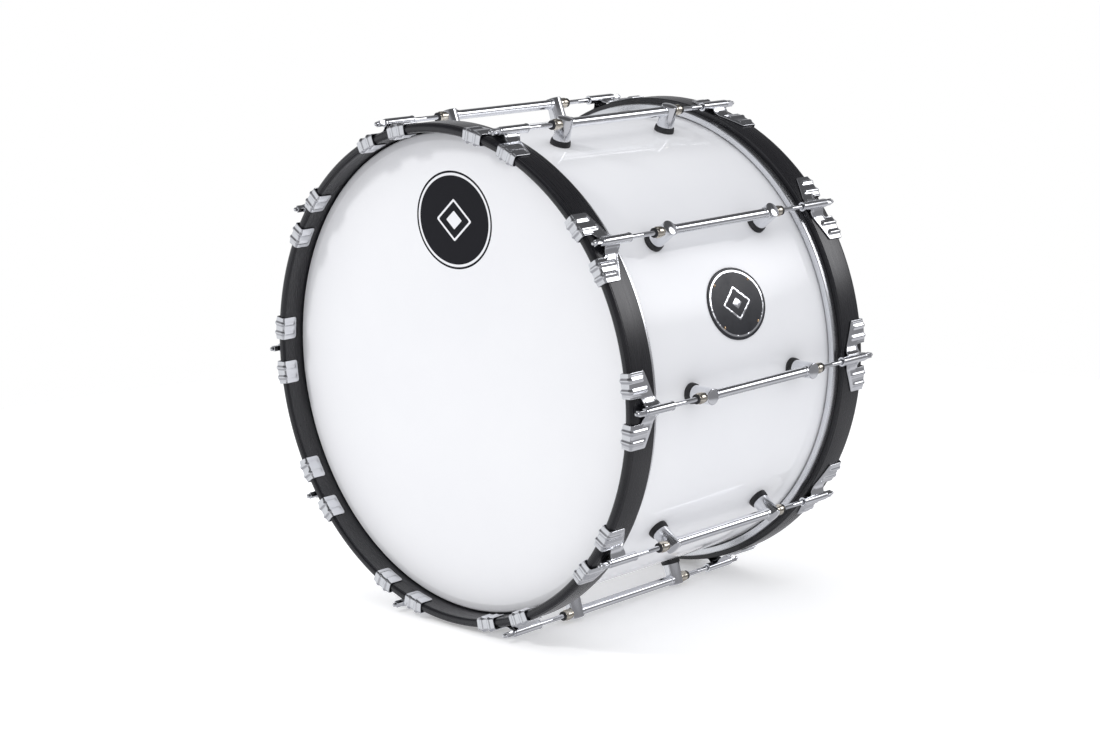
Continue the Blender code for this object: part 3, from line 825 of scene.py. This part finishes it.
def lug_meshes():
    """Meshes of one lug: body, gaskets, nuts, nylon rings and mounting screws."""
    line = Matrix.Translation((ROD_LINE, 0, 0)) @ Z_TO_Y
    collar_start = POST_REACH - POST_RADIUS - 2.2 * MM
    collar_radius = TUBE_RADIUS + 1.0 * MM
    half = [
        (TUBE_RADIUS, collar_start, 0.1 * MM), (collar_radius, collar_start + 0.3 * MM, 0.4 * MM),
        (collar_radius, POST_REACH - 2 * MM, 0),
    ]
    corners = [(0, POST_REACH - 2 * MM, 0), *reversed(half),
               *[(r, -h, f) for r, h, f in half], (0, 2 * MM - POST_REACH, 0)]
    tube = to_mesh(turned(softened(corners), 44, closed=False), "lug_tube", line)

    post_foot = SHELL_RADIUS + 2.0 * MM
    dome = 1.1 * MM
    post = [(0, post_foot), (POST_FOOT_RADIUS, post_foot),
            (POST_FOOT_RADIUS, SHELL_RADIUS + GASKET_HEIGHT)]
    edge = 0.9 * MM
    shoulder = POST_END - dome - edge
    for k in range(5):
        turn = k / 4 * math.radians(78)
        post.append((POST_RADIUS - edge + edge * math.cos(turn), shoulder + edge * math.sin(turn)))
    rim_radius, rim_height = post[-1]
    for k in range(1, 9):
        across = rim_radius * (1 - k / 8)
        post.append((across, POST_END - (POST_END - rim_height) * (across / rim_radius) ** 2))
    posts = [to_mesh(turned(post, 56, closed=False), "post", on_post(end)) for end in (-1, 1)]
    bore = to_mesh(turned([(0, -NUT_END), (SLEEVE_BORE, -NUT_END), (SLEEVE_BORE, NUT_END),
                           (0, NUT_END)], 32, closed=False), "lug_bore", line)
    body = combined("lug_body", posts[0], [posts[1], tube], [bore])

    def pair(name, corners, matrix_of):
        """One ring at each end of the lug."""
        both = bmesh.new()
        for end in (-1, 1):
            mesh = to_mesh(turned(softened(corners, 5), 48), name, matrix_of(end))
            both.from_mesh(mesh)
        return both

    seat = SHELL_RADIUS + 0.1 * MM
    gaskets = pair("gasket", [
        (POST_FOOT_RADIUS - 0.2 * MM, seat, 0), (GASKET_RADIUS, seat, 0),
        (GASKET_RADIUS, seat + 2.2 * MM, 0.8 * MM),
        (GASKET_RADIUS - 0.7 * MM, seat + GASKET_HEIGHT, 1.0 * MM),
        (POST_FOOT_RADIUS + 0.1 * MM, seat + GASKET_HEIGHT, 0.2 * MM)], on_post)
    for vert in gaskets.verts:
        if vert.co.x < seat + 0.1 * MM:      # the foot follows the shell's curve
            vert.co.x = math.sqrt(seat ** 2 - vert.co.z ** 2)
    gaskets = to_mesh(gaskets, "gaskets")

    def on_line(end):
        direction = Z_TO_Y if end > 0 else Z_TO_FRONT
        return Matrix.Translation((ROD_LINE, 0, 0)) @ direction

    bore_radius = ROD_RADIUS + 0.35 * MM
    ring_start = NUT_END - 2.6 * MM
    nut_start = POST_REACH + POST_RADIUS - 1.5 * MM
    nuts = to_mesh(pair("nut", [
        (bore_radius, nut_start, 0), (5.6 * MM, nut_start, 0),
        (5.6 * MM, nut_start + 3.4 * MM, 0.5 * MM), (6.5 * MM, nut_start + 4.1 * MM, 0.9 * MM),
        (6.5 * MM, ring_start - 2.6 * MM, 1.4 * MM), (5.2 * MM, ring_start - 0.5 * MM, 0.6 * MM),
        (5.2 * MM, ring_start, 0), (bore_radius, ring_start, 0)], on_line), "nuts")
    rings = to_mesh(pair("ring", [
        (bore_radius - 0.1 * MM, ring_start + 0.05 * MM, 0.2 * MM),
        (5.6 * MM, ring_start + 0.05 * MM, 0.5 * MM), (5.6 * MM, NUT_END, 0.9 * MM),
        (bore_radius - 0.1 * MM, NUT_END, 0.6 * MM)], on_line), "rings")

    washer_top = SHELL_RADIUS - SHELL_WALL - 0.7 * MM
    washer_foot = washer_top - 1.6 * MM
    washer_hole, washer_radius = 2.6 * MM, 7.0 * MM
    head_radius, head_seat = 4.5 * MM, washer_foot - 0.02 * MM
    shank_radius, shank_foot = 2.5 * MM, washer_foot - 0.01 * MM
    shank_top = SHELL_RADIUS + 1.9 * MM
    screws = bmesh.new()
    for end in (-1, 1):
        washer = turned(softened([
            (washer_hole, washer_foot, 0.2 * MM), (washer_radius, washer_foot, 0.4 * MM),
            (washer_radius, washer_top, 0.4 * MM), (washer_hole, washer_top, 0.2 * MM)], 3), 36)
        screws.from_mesh(to_mesh(washer, "washer", on_post(end)))
        head = turned([
            (0, SCREW_FOOT), (3.9 * MM, SCREW_FOOT), (head_radius, SCREW_FOOT + 0.5 * MM),
            (head_radius, head_seat), (0, head_seat)], 6, closed=False)
        screws.from_mesh(to_mesh(head, "screw_head", on_post(end)))
        shank = turned([
            (0, shank_foot), (shank_radius, shank_foot), (shank_radius, shank_top),
            (0, shank_top)], 20, closed=False)
        screws.from_mesh(to_mesh(shank, "screw_shank", on_post(end)))
    screws = to_mesh(screws, "screws")
    return [("body", body, "chrome", CHROME), ("gaskets", gaskets, "gasket_rubber", RUBBER),
            ("nuts", nuts, "nut_nickel", NICKEL), ("nut_rings", rings, "gasket_rubber", RUBBER),
            ("screws", screws, "chrome", CHROME)]


# ---------------------------------------------------------------- badge, emblem and vent

def make_badge():
    """Oval enamel plate bent to the shell, with a raised line, a diamond and four rivets."""
    low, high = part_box("badge")
    middle = (low + high) / 2
    angle = math.atan2(middle.z, middle.x)
    turn = Matrix.Translation((0, middle.y, 0)) @ Matrix.Rotation(-angle, 4, "Y")
    seat = SHELL_RADIUS + 0.15 * MM
    face = seat + BADGE_THICKNESS - 0.3 * MM

    def on_shell(u, v, height):
        spin = v / SHELL_RADIUS
        return height * math.cos(spin), u, height * math.sin(spin)

    spacing = 3 * MM
    columns, rows = int(BADGE_HALF_LENGTH / spacing), int(BADGE_HALF_HEIGHT / spacing)
    grid = [Vector((u * spacing, v * spacing))
            for u in range(-columns, columns + 1) for v in range(-rows, rows + 1)]
    outline = ellipse(BADGE_HALF_LENGTH, BADGE_HALF_HEIGHT, 120)
    plate = formed_plate([outline], grid, on_shell,
                         lambda u, v, gap: face - rolled_edge(gap, 0.6 * MM),
                         lambda u, v, gap: seat,
                         edge_steps=(0.15 * MM, 0.35 * MM, 0.65 * MM))
    piece("badge_plate", to_mesh(plate, "badge_plate", turn), "shell", ENAMEL,
          ["badge"])

    lines = bmesh.new()
    ring_out, ring_in = 3.4 * MM, 5.6 * MM
    shapes = [
        [ellipse(BADGE_HALF_LENGTH - ring_out, BADGE_HALF_HEIGHT - ring_out, 120),
         ellipse(BADGE_HALF_LENGTH - ring_in, BADGE_HALF_HEIGHT - ring_in, 120)],
        [dense(diamond(24 * MM, 20 * MM, 1.5 * MM), spacing),
         dense(diamond(20.6 * MM, 16.9 * MM, 0.8 * MM), spacing)],
        [dense(diamond(8 * MM, 6.6 * MM, 0.8 * MM), spacing)],
    ]
    for loops in shapes:
        part = formed_plate(loops, grid, on_shell,
                            lambda u, v, gap: face + 0.25 * MM - rolled_edge(gap, 0.2 * MM),
                            lambda u, v, gap: face - 0.1 * MM)
        lines.from_mesh(to_mesh(part, "badge_line"))
    piece("badge_lines", to_mesh(lines, "badge_lines", turn), "shell", CHROME)

    rivets = bmesh.new()
    rivet_radius = 1.9 * MM
    for u in (-1, 1):
        for v in (-1, 1):
            place_u, place_v = u * 29.5 * MM, v * 24.5 * MM
            spin = Matrix.Rotation(-place_v / SHELL_RADIUS, 4, "Y")
            stand = Matrix.Translation((0, place_u, 0)) @ spin @ Z_TO_X
            head = [(0, face - 0.2 * MM), (rivet_radius, face - 0.2 * MM)]
            head += [(rivet_radius * math.cos(a), face + 0.9 * MM * math.sin(a))
                     for a in (k * math.pi / 12 for k in range(7))]
            head[-1] = (0, head[-1][1])
            rivets.from_mesh(to_mesh(turned(head, 20, closed=False), "rivet", stand))
    piece("badge_rivets", to_mesh(rivets, "badge_rivets", turn), "shell", BRASS)


def make_emblem():
    """Plain printed oval and diamond on the front film."""
    shapes = [
        [ellipse(EMBLEM_HALF_WIDTH, EMBLEM_HALF_HEIGHT, 128),
         ellipse(EMBLEM_HALF_WIDTH - 2.4 * MM, EMBLEM_HALF_HEIGHT - 2.4 * MM, 128)],
        [ellipse(EMBLEM_HALF_WIDTH - 5.4 * MM, EMBLEM_HALF_HEIGHT - 5.4 * MM, 128),
         diamond(29 * MM, 25 * MM, 2 * MM)],
        [diamond(25 * MM, 21.5 * MM, 1.5 * MM), diamond(13 * MM, 11 * MM, 1 * MM)],
    ]
    film = FILM_REACH + 0.02 * MM
    ink = 0.1 * MM
    print_mesh = bmesh.new()
    for loops in shapes:
        part = formed_plate(
            loops, [], lambda u, v, height: (u, -height, v),
            lambda u, v, gap: film + ink, lambda u, v, gap: film)
        print_mesh.from_mesh(to_mesh(part, "emblem_shape"))
    place = Matrix.Translation((0, 0, EMBLEM_CENTRE))
    piece("head_emblem", to_mesh(print_mesh, "head_emblem", place), "front_head",
          INK)


def make_vent():
    """Metal eyelet that lines the shell's air hole."""
    seat = SHELL_RADIUS + 0.1 * MM
    inner = SHELL_RADIUS - SHELL_WALL
    mesh = to_mesh(turned(softened([
        (4.0 * MM, inner, 0.4 * MM), (4.0 * MM, seat + 2.2 * MM, 1.6 * MM),
        (8.6 * MM, seat + 2.2 * MM, 1.6 * MM), (10.0 * MM, seat, 0.3 * MM),
        (6.0 * MM, seat, 0.2 * MM), (6.0 * MM, inner, 0.3 * MM)]), 56), "vent_eyelet", vent_turn())
    piece("vent_eyelet", mesh, "shell", CHROME, ["vent_grommet"])


# ---------------------------------------------------------------- build

make_shell()
make_badge()
make_vent()
make_emblem()
CLAW = claw_mesh()
ROD = rod_mesh()
LUG = lug_meshes()
for index in range(STATIONS):
    for part, mesh, slot, finish in LUG:
        node = f"lug_{index + 1:02d}"
        piece(f"{node}_{part}", placed(mesh, station(index)), "shell", finish,
              [node] if part == "body" else [])
for side in SIDES:
    make_head(side)
    make_counterhoop(side)
    stand = Matrix.Translation((ROD_LINE, 0, 0)) @ Z_TO_FRONT
    for index in range(STATIONS):
        number = f"{index + 1:02d}"
        claw, rod = f"{side}_claw_{number}", f"{side}_rod_{number}"
        turn = station(index, side)
        piece(claw + "_stamping", placed(CLAW, turn), claw, CHROME, [claw])
        piece(rod + "_bolt", placed(ROD, turn @ stand), rod, CHROME, [rod])


# ---------------------------------------------------------------- stage, light and camera

def make_floor():
    """Round white floor with a rounded rim. It shines a little, and reflections leave it out."""
    size = 1.5
    mesh = to_mesh(turned(softened([(0, 0, 0), (size, 0, 0.01), (size, -0.02, 0), (0, -0.02, 0)]),
                          RING_SIDES, closed=False), "floor")
    f = Finish("floor_white")
    f.feed(f.shader, "Emission Color", (1.0, 1.0, 1.0, 1.0))
    f.feed(f.shader, "Emission Strength", 0.30)
    cloud = f.noise(1.5, 3.0)
    colour = f.tint(cloud, 0.3, 0.7, (0.88, 0.88, 0.885), (0.90, 0.90, 0.90))
    f.surface(colour, f.ramp(cloud, 0.3, 0.7, 0.75, 0.85))
    mesh.materials.append(f.material)
    floor = bpy.data.objects.new("floor", mesh)
    bpy.context.scene.collection.objects.link(floor)
    floor.location.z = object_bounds()[0].z
    floor.visible_glossy = False


def make_world():
    """White studio with a separate look for each kind of ray.

    The camera sees plain white, and matt surfaces are lit by a pale sky. Reflections show a
    grey room with a dark ceiling, a white wall on the left and a lamp behind on the right.
    """
    world = bpy.data.worlds.new("studio")
    bpy.context.scene.world = world
    world.use_nodes = True
    tree = world.node_tree
    backdrop = tree.nodes["Background"]

    def node(kind, **settings):
        made = tree.nodes.new(kind)
        for key, value in settings.items():
            setattr(made, key, value)
        return made

    def between(value, low, high):
        made = node("ShaderNodeMapRange")
        tree.links.new(value, made.inputs["Value"])
        made.inputs["From Min"].default_value = low
        made.inputs["From Max"].default_value = high
        return made.outputs["Result"]

    def mixed(factor, first, second):
        made = node("ShaderNodeMix", data_type="RGBA")
        tree.links.new(factor, made.inputs[0])
        for socket, colour in ((6, first), (7, second)):
            if isinstance(colour, bpy.types.NodeSocket):
                tree.links.new(colour, made.inputs[socket])
            else:
                made.inputs[socket].default_value = colour
        return made.outputs[2]

    def along(direction):
        made = node("ShaderNodeVectorMath", operation="DOT_PRODUCT")
        tree.links.new(place, made.inputs[0])
        made.inputs[1].default_value = direction
        return made.outputs["Value"]

    def times(first, second):
        made = node("ShaderNodeMath", operation="MULTIPLY")
        tree.links.new(first, made.inputs[0])
        tree.links.new(second, made.inputs[1])
        return made.outputs[0]

    place = node("ShaderNodeTexCoord").outputs["Generated"]
    up = along((0, 0, 1))
    ramp = node("ShaderNodeValToRGB")
    tree.links.new(between(up, -1, 1), ramp.inputs[0])
    stops = ramp.color_ramp.elements
    stops[0].position, stops[0].color = 0.0, (0.40, 0.405, 0.43, 1)
    stops[1].position, stops[1].color = 1.0, (0.40, 0.405, 0.42, 1)
    room = ((-0.62, 0.46), (-0.50, 0.66), (-0.36, 0.62), (-0.26, 0.26), (0.05, 0.26),
            (0.16, 0.36), (0.42, 0.36), (0.54, 0.10), (0.90, 0.09))
    for height, level in room:
        stop = stops.new((height + 1) / 2)
        stop.color = (level, level, level * 1.04, 1)
    left = between(along((-0.90, -0.43, 0.0)), 0.18, 0.40)
    low = between(along((0, 0, -1)), -0.26, -0.16)
    high = between(up, -0.46, -0.36)
    wall = times(left, times(low, high))
    lamp = between(along(Vector((0.56, 0.71, 0.43)).normalized()), 0.965, 0.992)
    lit = mixed(lamp, ramp.outputs[0], (4.0, 4.0, 4.1, 1))
    reflected = mixed(wall, lit, (0.80, 0.81, 0.83, 1))
    sky = mixed(between(up, -0.5, 0.7), (0.62, 0.63, 0.67, 1), (0.95, 0.955, 0.97, 1))
    path = node("ShaderNodeLightPath")
    even = mixed(path.outputs["Is Glossy Ray"], sky, reflected)
    seen = mixed(path.outputs["Is Camera Ray"], even, (1.0, 1.0, 1.0, 1))
    tree.links.new(seen, backdrop.inputs["Color"])


def softbox(name, direction, distance, width, height, power):
    """Area light that faces the drum's middle and isn't seen itself or in reflections."""
    light = bpy.data.lights.new(name, "AREA")
    light.shape = "RECTANGLE"
    light.size, light.size_y, light.energy = width, height, power
    item = bpy.data.objects.new(name, light)
    bpy.context.scene.collection.objects.link(item)
    towards = Vector(direction).normalized()
    item.location = towards * distance
    item.rotation_euler = towards.to_track_quat("Z", "Y").to_euler()
    item.visible_camera = False
    item.visible_glossy = False


def make_camera():
    """View of the front head and the drum's right side."""
    azimuth, elevation, roll = (math.radians(a) for a in (43.846, 10.963, -1.364))
    yaw, pitch = math.radians(-0.369), math.radians(-0.354)
    distance = 2.852
    back = Vector((math.sin(azimuth) * math.cos(elevation),
                   -math.cos(azimuth) * math.cos(elevation), math.sin(elevation)))
    right = (-back).cross(Vector((0, 0, 1))).normalized()
    up = right.cross(-back)
    aim = (-back + math.tan(yaw) * right + math.tan(pitch) * up).normalized()
    level = aim.cross(Vector((0, 0, 1))).normalized()
    above = level.cross(aim)
    x_axis = level * math.cos(roll) + above * math.sin(roll)
    y_axis = above * math.cos(roll) - level * math.sin(roll)
    camera = bpy.data.objects.new("camera", bpy.data.cameras.new("camera"))
    bpy.context.scene.collection.objects.link(camera)
    camera.data.lens = 76.6
    camera.data.sensor_width = 36.0
    turn = Matrix((x_axis, y_axis, -aim)).transposed().to_4x4()
    camera.matrix_world = Matrix.Translation(back * distance) @ turn
    bpy.context.scene.camera = camera


make_floor()
make_world()
softbox("key_light", (-0.36, -0.68, 0.64), 2.6, 0.35, 0.35, 17)
softbox("top_light", (0.45, 0.0, 1.0), 2.4, 1.2, 1.2, 4)
make_camera()
bpy.context.scene.view_settings.view_transform = "Standard"
